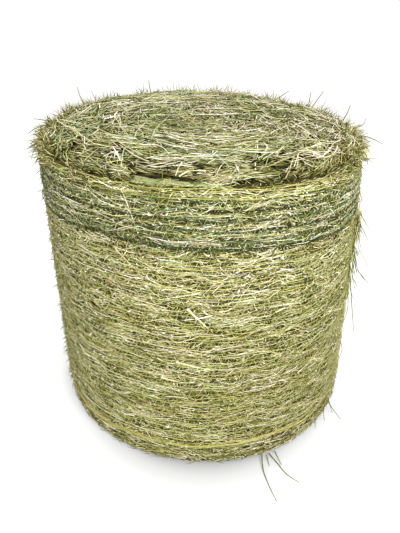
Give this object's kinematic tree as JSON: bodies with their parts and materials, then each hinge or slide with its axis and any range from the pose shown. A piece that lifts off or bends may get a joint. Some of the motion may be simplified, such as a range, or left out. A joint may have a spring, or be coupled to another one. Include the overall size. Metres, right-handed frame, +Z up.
{
  "type": "round hay bale",
  "caption": "Round bale of dry grass hay standing on its flat end: wound hay roll, knitted net wrap round the side, and loose stems.",
  "frame": {"origin": "middle of the flat end that the bale stands on, at ground level", "axes": "+Z up along the roll's axis; -Y is the side shown in the picture, where the mat on top overhangs a ledge; +X to the right seen from there"},
  "size_m": [1.4225, 1.4826, 1.2886],
  "materials": {
    "hay": "matte",
    "net": "satin",
    "stem": "matte",
    "straw": "satin"
  },
  "bodies": {
    "root": {"foot_stem_1": "stem", "foot_stem_2": "stem", "foot_stem_3": "stem", "foot_stem_4": "stem", "ground_stem_1": "stem", "ground_stem_2": "stem", "ground_stem_3": "stem", "ground_stem_4": "stem", "hanging_stem_1": "stem", "hanging_stem_2": "stem", "hanging_stem_3": "stem", "hanging_stem_4": "stem", "hanging_stem_5": "stem", "hanging_stem_6": "stem", "hay_roll": "hay", "net_blade_1": "straw", "net_blade_2": "straw", "net_blade_3": "straw", "net_stem_1": "straw", "net_stem_2": "straw", "net_stem_3": "straw", "net_stem_4": "straw", "net_stem_5": "straw", "net_stem_6": "straw", "net_stem_7": "straw", "net_stem_8": "straw", "net_wrap": "net", "rim_stem_1": "stem", "rim_stem_10": "stem", "rim_stem_11": "stem", "rim_stem_12": "stem", "rim_stem_13": "stem", "rim_stem_14": "stem", "rim_stem_15": "stem", "rim_stem_2": "stem", "rim_stem_3": "stem", "rim_stem_4": "stem", "rim_stem_5": "stem", "rim_stem_6": "stem", "rim_stem_7": "stem", "rim_stem_8": "stem", "rim_stem_9": "stem", "top_stem_1": "straw", "top_stem_2": "straw", "top_stem_3": "straw"}
  },
  "joints": []
}
